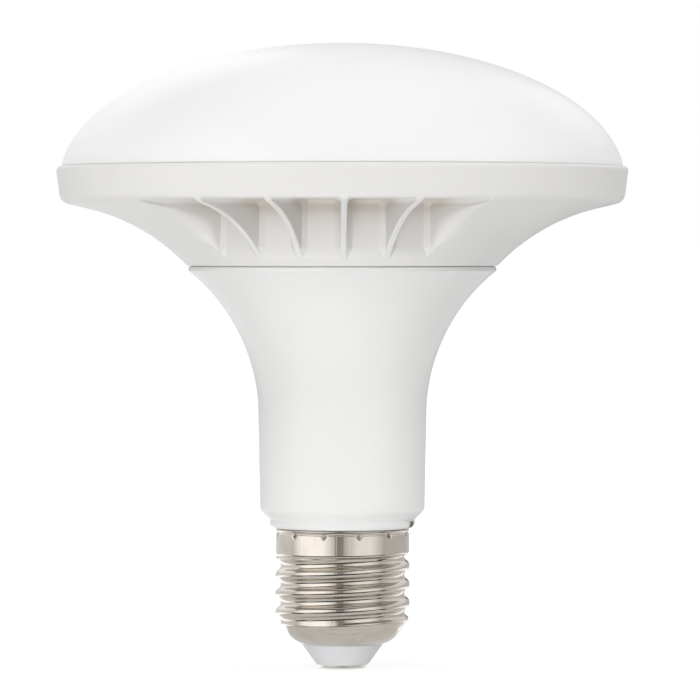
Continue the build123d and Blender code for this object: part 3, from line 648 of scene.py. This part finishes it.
def neckGrid(size):
    # closed section turned about the axis: spigot, foot, straight barrel, hollow flare, ring, and back inside
    low, high = levelsOf("neck_housing")
    capTop = levelsOf("cap_shell")[1]
    collarLow = levelsOf("finned_collar")[0]
    footTop = capTop + size["footRise"]
    neckLow = footTop + size["radius"] - size["footRadius"]
    flareLow = neckLow + size["barrel"]
    upper = size["radius"] + size["draft"]
    run = size["topRadius"] - upper
    flareTop = flareLow + math.sqrt(size["flareRadius"] ** 2 - (size["flareRadius"] - run) ** 2)
    neckTop = flareTop + size["topLand"]
    ringBore = size["ringRadius"] - size["ringWall"]
    foot = softPath([
        (size["spigotBore"], low, 0),
        (size["spigotRadius"], low, 0),
        (size["spigotRadius"], size["threadTop"], 0),
        (size["bandRadius"], size["bandLow"], 0),
        (size["bandRadius"], capTop, 0),
        (size["footRadius"], capTop, size["footEdge"]),
        (size["footRadius"], footTop, size["footTopEdge"]),
        (size["radius"], neckLow, size["corner"]),
        (upper, flareLow, 0),
    ], steps=9)
    flare = bowRun((upper, flareLow), (size["topRadius"], flareTop), size["flareRadius"], steps=48)[1:]
    top = softPath([
        (*flare[-1], 0),
        (size["topRadius"], neckTop, size["topEdge"]),
        (size["landRadius"], neckTop, 0),
        (size["landRadius"], collarLow, 0),
        (size["ringRadius"], collarLow, 0),
        (size["ringRadius"], high, 0),
        (ringBore, high, 0),
    ])[1:]
    innerRadius = size["flareRadius"] + size["wall"]
    innerRun = upper + size["flareRadius"] - ringBore
    innerTop = flareLow + math.sqrt(innerRadius**2 - innerRun**2)
    inside = bowRun((upper - size["wall"], flareLow), (ringBore, innerTop), innerRadius, steps=16)[::-1]
    floor = np.array([(size["radius"] - size["wall"], neckLow), (size["spigotBore"], neckLow)])
    profile = np.concatenate([spread(foot, longest=1.2), flare, top, inside, floor])
    return turned(profile, size["columns"])


neck = gridPiece("neck_moulding", neckGrid(neckSize))
seat(neck, "neck_housing", neckWhite)


# Screw shell

shellSize = {
    "sheet": 0.3, "lip": 8.0, "root": 12.1, "depth": 1.05, "knuckle": 1.025, "pitch": 3.629, "lead": 0.32,
    "dishRise": 4.05, "kneeInset": 1.2, "kneeRise": 0.85, "threadTop": 22.0, "barrelLow": 22.9,
    "barrel": 13.03, "runIn": 1.9, "runInDrop": 0.6, "runOut": 1.5, "beadGroove": 0.22, "beadDrop": 0.86,
    "beadWidth": 0.2, "edge": 0.22, "stakeCount": 12, "stakeAngle": -8.4, "stakeDrop": 1.25,
    "stakeDepth": 0.75, "stakeWide": 0.68, "stakeTall": 0.8, "stakeShadeGain": 2.2, "stakeShadeCut": 0.2,
    "threadRows": 100, "barrelRows": 40, "edgeRows": 9, "innerStep": 3, "columns": 400,
}


def softStep(value):
    # 3t^2 - 2t^3 between 0 and 1
    t = np.clip(value, 0, 1)
    return t * t * (3 - 2 * t)


def threadRise(across, size):
    # knuckle thread: a crest arc that flows into root arcs of the same radius
    half = size["knuckle"] * math.sin(math.acos(1 - size["depth"] / 2 / size["knuckle"]))
    across = np.abs(across)
    crest = size["depth"] - size["knuckle"] + np.sqrt(np.maximum(size["knuckle"] ** 2 - across**2, 0))
    away = np.clip(2 * half - across, 0, None)
    rootPart = size["knuckle"] - np.sqrt(np.maximum(size["knuckle"] ** 2 - away**2, 0))
    return np.where(across < half, crest, rootPart)


def stakeShape(angle, level, size):
    # punched marks in a ring: 1 - distance sideways - distance upright, each as a share of the mark's reach
    spacing = 2 * np.pi / size["stakeCount"]
    away = (angle - math.radians(size["stakeAngle"] - 90) + spacing / 2) % spacing - spacing / 2
    sideways = np.abs(away) * size["barrel"] / size["stakeWide"]
    upright = np.abs(level - levelsOf("cap_shell")[1] + size["stakeDrop"]) / size["stakeTall"]
    return np.clip(1 - sideways - upright, 0, 1)


def shellGrid(size):
    # radius = turned base + thread rise at its place on the helix * run-in and run-out - stake marks
    low, high = levelsOf("cap_shell")
    dishLevel = low + size["dishRise"]
    knee = (size["root"] - size["kneeInset"], low + size["kneeRise"])
    dish = curveRun((size["lip"], low), knee, (size["root"], dishLevel), steps=26)
    threadLevels = np.linspace(dishLevel, size["threadTop"], size["threadRows"])[1:]
    pull = (size["barrel"], (size["threadTop"] + size["barrelLow"]) / 2)
    barrelFoot = (size["barrel"], size["barrelLow"])
    shoulder = curveRun((size["root"], size["threadTop"]), pull, barrelFoot, steps=12)[1:]
    barrelLevels = np.linspace(size["barrelLow"], high - size["edge"], size["barrelRows"])[1:]
    radius = np.concatenate([dish[:, 0], np.full(len(threadLevels), size["root"]), shoulder[:, 0],
                             np.full(len(barrelLevels), size["barrel"])])
    level = np.concatenate([dish[:, 1], threadLevels, shoulder[:, 1], barrelLevels])[:, None]
    angle = np.linspace(0, 2 * np.pi, size["columns"], endpoint=False)[None, :]
    turns = (level - dishLevel - size["lead"]) / size["pitch"] - angle / (2 * np.pi)
    across = (turns - np.round(turns)) * size["pitch"]
    strength = softStep((level - dishLevel + size["runInDrop"]) / size["runIn"])
    strength = strength * softStep((size["barrelLow"] - level) / size["runOut"])
    outer = radius[:, None] + threadRise(across, size) * strength
    inner = outer - size["sheet"]
    # a shallow groove sets off the bead at the shell's top edge
    groove = np.exp(-(((level - high + size["beadDrop"]) / size["beadWidth"]) ** 2))
    outer = outer - size["beadGroove"] * groove
    # punched stakes grip the neck: each is a small pyramid, pressed inwards
    outer = outer - size["stakeDepth"] * stakeShape(angle, level, size)
    # the top edge turns over to the inside, and the inside comes back to the lip in fewer rows
    bend = np.radians(np.linspace(0, 180, size["edgeRows"]))[1:-1, None]
    topRadius = size["barrel"] - size["sheet"] / 2 + size["sheet"] / 2 * np.cos(bend)
    topLevel = high - size["edge"] + size["edge"] * np.sin(bend)
    keep = np.r_[np.arange(len(level) - 1, 0, -size["innerStep"]), 0]
    flat = np.ones_like(angle)
    section = np.concatenate([outer, topRadius * flat, inner[keep]])
    levels = np.concatenate([level * flat, topLevel * flat, level[keep] * flat])
    return np.stack([section * np.cos(angle), section * np.sin(angle), levels], 2)


def stakePaintedShade(radius, angle, level):
    # painted shade in the stake marks: soft step of (stake shape * gain - cut), 1 in the heart of each mark
    mark = stakeShape(angle, level, shellSize)
    return softStep(mark * shellSize["stakeShadeGain"] - shellSize["stakeShadeCut"])


shell = gridPiece("screw_shell", shellGrid(shellSize), sharpAngle=75)
markPaintedShade(shell, stakePaintedShade)
seat(shell, "cap_shell", nickelPlate)


# Insulator cone and end contact

insulatorSize = {
    "face": 5.1, "edge": 0.7, "lip": 8.0, "lipGap": 0.02, "boreGap": 0.05, "pin": 1.6, "sheet": 0.35,
    "root": 12.1, "dishRise": 4.05, "kneeInset": 1.2, "kneeRise": 0.85, "funnel": 6.5, "pinTop": 4.9,
    "columns": 192,
}


def insulatorGrid(size):
    # closed section turned about the axis: cone below the lip, plug inside the dish, funnel for the lead
    low, high = levelsOf("cap_insulator")
    lip = levelsOf("cap_shell")[0]
    bore = size["pin"] + size["boreGap"]
    lipFoot = (size["lip"] - size["lipGap"], lip, 0)
    cone = softPath([(bore, low, 0), (size["face"], low, size["edge"]), lipFoot], steps=9)
    inset = size["sheet"]
    knee = (size["root"] - size["kneeInset"] - inset, lip + size["kneeRise"])
    plugTop = (size["root"] - inset, lip + size["dishRise"])
    plug = curveRun((size["lip"] - inset, lip), knee, plugTop, steps=14)
    inside = np.array([(size["root"] - inset, high), (size["funnel"], high), (size["pin"], size["pinTop"]),
                       (bore, size["pinTop"] - size["boreGap"])])
    return turned(np.concatenate([spread(cone, longest=0.5), plug, inside]), size["columns"])


contactSize = {
    "radius": 4.8, "thickness": 0.7, "edge": 0.45, "pin": 1.6, "crown": 0.06, "crownPull": 0.5,
    "columns": 128,
}


def contactGrid(size):
    # closed section turned about the axis: a barely crowned face, rounded edge, flat back and pin
    high = levelsOf("centre_contact")[1]
    pull = (size["radius"] * size["crownPull"], 0)
    face = curveRun((0, 0), pull, (size["radius"] - size["edge"], size["crown"]), steps=14)
    corner = (size["radius"], size["crown"], size["edge"])
    edge = softPath([(*face[-1], 0), corner, (size["radius"], size["thickness"], 0)], steps=8)
    back = np.array([(size["pin"], size["thickness"]), (size["pin"], high), (0, high)])
    return turned(np.concatenate([face, edge[1:], back]), size["columns"])


insulator = gridPiece("insulator_cone", insulatorGrid(insulatorSize))
seat(insulator, "cap_insulator", insulatorWhite)
contact = gridPiece("end_contact", contactGrid(contactSize))
seat(contact, "centre_contact", contactPlate)


# The mains lead that shows and what the housing holds keep their CAD form and get their own finishes

sleeving = {"Rough Low": 0.4, "Rough High": 0.55}
epoxy = {"Rough Low": 0.45, "Rough High": 0.6}
bare = {"Rough Low": 0.28, "Rough High": 0.4}
insideFinishes = {
    "neutral_lead": (platedMetal, "tinnedWire", {"Tint": tint(0.3, 0.28, 0.26), **bare}),
    "heat_spreader": (platedMetal, "pressedAluminium", {
        "Tint": tint(0.78, 0.78, 0.79), "Tarnish And Shade": tint(0.66, 0.66, 0.67),
        "Rough Low": 0.3, "Rough High": 0.46, "Stretch": 1.0}),
    "led_board": (mouldedSkin, "whiteMask", {
        "Tint": tint(0.86, 0.86, 0.84), "Rough Low": 0.3, "Rough High": 0.4}),
    "led_chips": (mouldedSkin, "phosphorGel", {
        "Tint": tint(0.88, 0.68, 0.12), "Cloud": 0.12, "Grain": 4200.0,
        "Rough Low": 0.42, "Rough High": 0.56}),
    "board_screws": (platedMetal, "zincScrew", {"Tint": tint(0.66, 0.67, 0.68), **bare}),
    "driver_board": (mouldedSkin, "greenMask", {
        "Tint": tint(0.03, 0.16, 0.06), "Cloud": 0.2, "Rough Low": 0.3, "Rough High": 0.38}),
    "bulk_capacitor": (mouldedSkin, "shrinkSleeve", {
        "Tint": tint(0.02, 0.024, 0.05), "Rough Low": 0.18, "Rough High": 0.26}),
    "film_capacitor": (mouldedSkin, "ochreBox", {"Tint": tint(0.6, 0.38, 0.05), "Cloud": 0.08}),
    "transformer_core": (mouldedSkin, "sinteredFerrite", {
        "Tint": tint(0.045, 0.045, 0.05), "Cloud": 0.25, "Grain": 5200.0,
        "Rough Low": 0.6, "Rough High": 0.78}),
    "transformer_bobbin": (mouldedSkin, "blackBobbin", {"Tint": tint(0.02, 0.02, 0.02)}),
    "transformer_winding": (platedMetal, "enamelWire", {
        "Tint": tint(0.62, 0.28, 0.1), "Tarnish And Shade": tint(0.42, 0.16, 0.06),
        "Rough Low": 0.3, "Rough High": 0.42, "Stretch": 1.0}),
    "fuse_resistor": (mouldedSkin, "dippedTeal", {"Tint": tint(0.08, 0.2, 0.22), "Cloud": 0.1}),
    "surge_disc": (mouldedSkin, "dippedBlue", {"Tint": tint(0.03, 0.09, 0.32), "Cloud": 0.1}),
    "bridge_rectifier": (mouldedSkin, "bridgeEpoxy", {"Tint": tint(0.02, 0.02, 0.022), **epoxy}),
    "driver_chip": (mouldedSkin, "chipEpoxy", {"Tint": tint(0.018, 0.018, 0.02), **epoxy}),
    "output_diode": (mouldedSkin, "diodeEpoxy", {"Tint": tint(0.022, 0.022, 0.022), **epoxy}),
    "live_lead": (mouldedSkin, "redSleeving", {"Tint": tint(0.42, 0.02, 0.02), **sleeving}),
    "led_lead_positive": (mouldedSkin, "scarletSleeving", {"Tint": tint(0.5, 0.02, 0.02), **sleeving}),
    "led_lead_negative": (mouldedSkin, "blackSleeving", {"Tint": tint(0.02, 0.02, 0.022), **sleeving}),
}
insideBump = 0.01  # millimetres
for node, (group, name, values) in insideFinishes.items():
    metal = 1.0 if group is platedMetal else 0.0
    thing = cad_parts[node]
    thing.data.materials.clear()
    thing.data.materials.append(finish(name, group, values, insideBump, Metallic=metal))
print("inside finishes:", len(insideFinishes))


# Camera and light

view = {
    "azimuth": 7.1, "distance": 1.0, "aimLevel": 62.2, "aimRight": 1.5, "eyeLevel": 83.7,
    "lens": 263.0, "sensor": 36.0, "farthest": 100.0,
}


def viewFrom(azimuth, distance, level):
    turn = math.radians(azimuth)
    return (distance * math.sin(turn), -distance * math.cos(turn), level)


def aim(thing, target):
    # turns a camera or a light so that its -Z points at the target
    ray = np.array(target) - np.array(thing.location)
    thing.rotation_euler = (
        math.atan2(math.hypot(ray[0], ray[1]), -ray[2]), 0, math.atan2(ray[1], ray[0]) - math.pi / 2,
    )


def placeCamera():
    data = bpy.data.cameras.new("viewCamera")
    data.lens = view["lens"]
    data.sensor_width = view["sensor"]
    data.clip_end = view["farthest"]
    camera = bpy.data.objects.new("viewCamera", data)
    bpy.context.scene.collection.objects.link(camera)
    camera.location = viewFrom(view["azimuth"], view["distance"], view["eyeLevel"] * mm)
    side = math.radians(view["azimuth"])
    right = view["aimRight"] * mm
    aim(camera, (right * math.cos(side), right * math.sin(side), view["aimLevel"] * mm))
    bpy.context.scene.camera = camera


# fills light all but gloss and shape the white parts, gloss panels light gloss alone and shape the nickel,
# and the softbox overhead lights both
fills = {
    "leftFill": {"turn": -76.0, "distance": 1.2, "level": 1.8, "wide": 1.5, "tall": 1.3, "glow": 3.8},
    "frontFill": {"turn": -18.0, "distance": 1.3, "level": 0.53, "wide": 1.45, "tall": 0.73, "glow": 1.66},
    "rightFill": {"turn": 80.0, "distance": 1.3, "level": 1.3, "wide": 1.5, "tall": 1.4, "glow": 2.7},
    "lowFill": {"turn": -10.0, "distance": 0.5, "level": -0.42, "wide": 0.5, "tall": 0.8, "glow": 2.7},
    "backFill": {"turn": 180.0, "distance": 1.3, "level": 0.15, "wide": 1.6, "tall": 2.0, "glow": 0.6},
}
softboxes = {
    "topSoftbox": {"turn": 165.0, "distance": 0.6, "level": 1.4, "wide": 6.0, "tall": 3.6, "glow": 0.27},
}
glossPanels = {
    "leftHalo": {"turn": -54.5, "distance": 1.3, "level": 0.55, "wide": 2.38, "tall": 1.5, "glow": 0.66},
    "leftSoftbox": {"turn": -54.0, "distance": 1.3, "level": 0.55, "wide": 2.2, "tall": 1.4, "glow": 0.82,
                    "layers": 5, "core": 1.1},
    "rightHalo": {"turn": 41.0, "distance": 1.3, "level": 0.55, "wide": 2.1, "tall": 1.5, "glow": 0.56},
    "rightSoftbox": {"turn": 39.0, "distance": 1.3, "level": 0.55, "wide": 1.8, "tall": 1.4, "glow": 0.56,
                     "layers": 5, "core": 0.7},
    "leftReflector": {"turn": -137.0, "distance": 1.3, "level": 0.3, "wide": 2.18, "tall": 1.6, "glow": 0.82},
    "rightReflector": {"turn": 124.0, "distance": 1.3, "level": 0.3, "wide": 2.5, "tall": 1.6, "glow": 0.58},
    "gapPanel": {"turn": -5.0, "distance": 1.3, "level": 0.55, "wide": 0.32, "tall": 1.5, "glow": 0.26},
    "frontReflector": {"turn": 0.0, "distance": 0.4, "level": -0.5, "wide": 2.4, "tall": 0.36, "glow": 0.72},
    "lowReflector": {"turn": 180.0, "distance": 0.25, "level": -0.4, "wide": 2.4, "tall": 1.2, "glow": 0.69},
}
layerStep = 0.01  # metres between layers, because panels in one plane hide each other
uprightFrom = 1.0  # metres from the axis: nearer panels lie over or under the bulb


def placeLights(boxes, matte, gloss):
    # upright panels face the axis, those over and under the bulb face its middle; a softbox with layers is a
    # stack of ever narrower panels, so it fades towards its sides; energy = glow * pi * area
    for name, box in boxes.items():
        layers = box.get("layers", 1)
        for layer, wide in enumerate(np.linspace(box["wide"], box.get("core", box["wide"]), layers)):
            data = bpy.data.lights.new(name, "AREA")
            data.shape = "RECTANGLE"
            data.size = wide
            data.size_y = box["tall"]
            data.energy = box["glow"] / layers * math.pi * wide * box["tall"]
            light = bpy.data.objects.new(name, data)
            bpy.context.scene.collection.objects.link(light)
            distance = box["distance"] + layerStep * layer
            light.location = viewFrom(view["azimuth"] + box["turn"], distance, box["level"])
            light.visible_camera = False
            light.visible_diffuse = matte
            light.visible_glossy = gloss
            upright = box["distance"] > uprightFrom
            aim(light, (0, 0, box["level"] if upright else view["aimLevel"] * mm))


studio = {
    "floorRadius": 60.0, "floorSides": 96, "floorTone": 0.35, "floorSeen": 0.7, "floorFar": 0.95,
    "nearReach": 0.12, "farReach": 0.6, "roomTone": 0.25, "roomGloss": 0.07,
}


def placeStudio():
    # pale floor disc, (cos, sin) * radius, that shows to the camera alone, in a room that is white to the
    # camera and greyer to what it lights
    sides = studio["floorSides"]
    angle = np.linspace(0, 2 * np.pi, sides, endpoint=False)
    rim = np.stack([np.cos(angle), np.sin(angle), np.zeros(sides)], 1) * studio["floorRadius"]
    mesh = bpy.data.meshes.new("studioFloor")
    mesh.from_pydata(rim.tolist(), [], [list(range(sides))])
    floor = bpy.data.objects.new("studioFloor", mesh)
    bpy.context.scene.collection.objects.link(floor)
    floor.visible_diffuse = floor.visible_glossy = floor.visible_shadow = False
    material = bpy.data.materials.new("paleFloor")
    material.use_nodes = True
    tree = material.node_tree
    shader = tree.nodes["Principled BSDF"]
    tone = studio["floorTone"]
    shader.inputs["Base Color"].default_value = (tone, tone, tone, 1)
    shader.inputs["Roughness"].default_value = 0.9
    shader.inputs["Specular IOR Level"].default_value = 0.1
    place = addNode(tree, "ShaderNodeTexCoord").outputs["Object"]
    away = addNode(tree, "ShaderNodeVectorMath", {"operation": "LENGTH"}, i0=place).outputs["Value"]
    seen = remap(tree, away, studio["nearReach"], studio["farReach"], studio["floorSeen"], studio["floorFar"])
    shader.inputs["Emission Color"].default_value = (1, 1, 1, 1)
    tree.links.new(seen, shader.inputs["Emission Strength"])
    mesh.materials.append(material)
    world = bpy.data.worlds.new("whiteRoom")
    bpy.context.scene.world = world
    world.use_nodes = True
    tree = world.node_tree
    seen = addNode(tree, "ShaderNodeBackground", Color=(1, 1, 1, 1), Strength=1.0)
    path = addNode(tree, "ShaderNodeLightPath")
    tone = remap(tree, path.outputs["Is Glossy Ray"], 0.0, 1.0, studio["roomTone"], studio["roomGloss"])
    room = addNode(tree, "ShaderNodeBackground", Color=(1, 1, 1, 1), Strength=tone)
    eye = path.outputs["Is Camera Ray"]
    mix = addNode(tree, "ShaderNodeMixShader", Fac=eye, i1=room.outputs[0], i2=seen.outputs[0])
    tree.links.new(mix.outputs[0], tree.nodes["World Output"].inputs["Surface"])
    bpy.context.scene.view_settings.view_transform = "Standard"


placeCamera()
placeLights(fills, matte=True, gloss=False)
placeLights(softboxes, matte=True, gloss=True)
placeLights(glossPanels, matte=False, gloss=True)
placeStudio()
print("camera, light and floor in place")
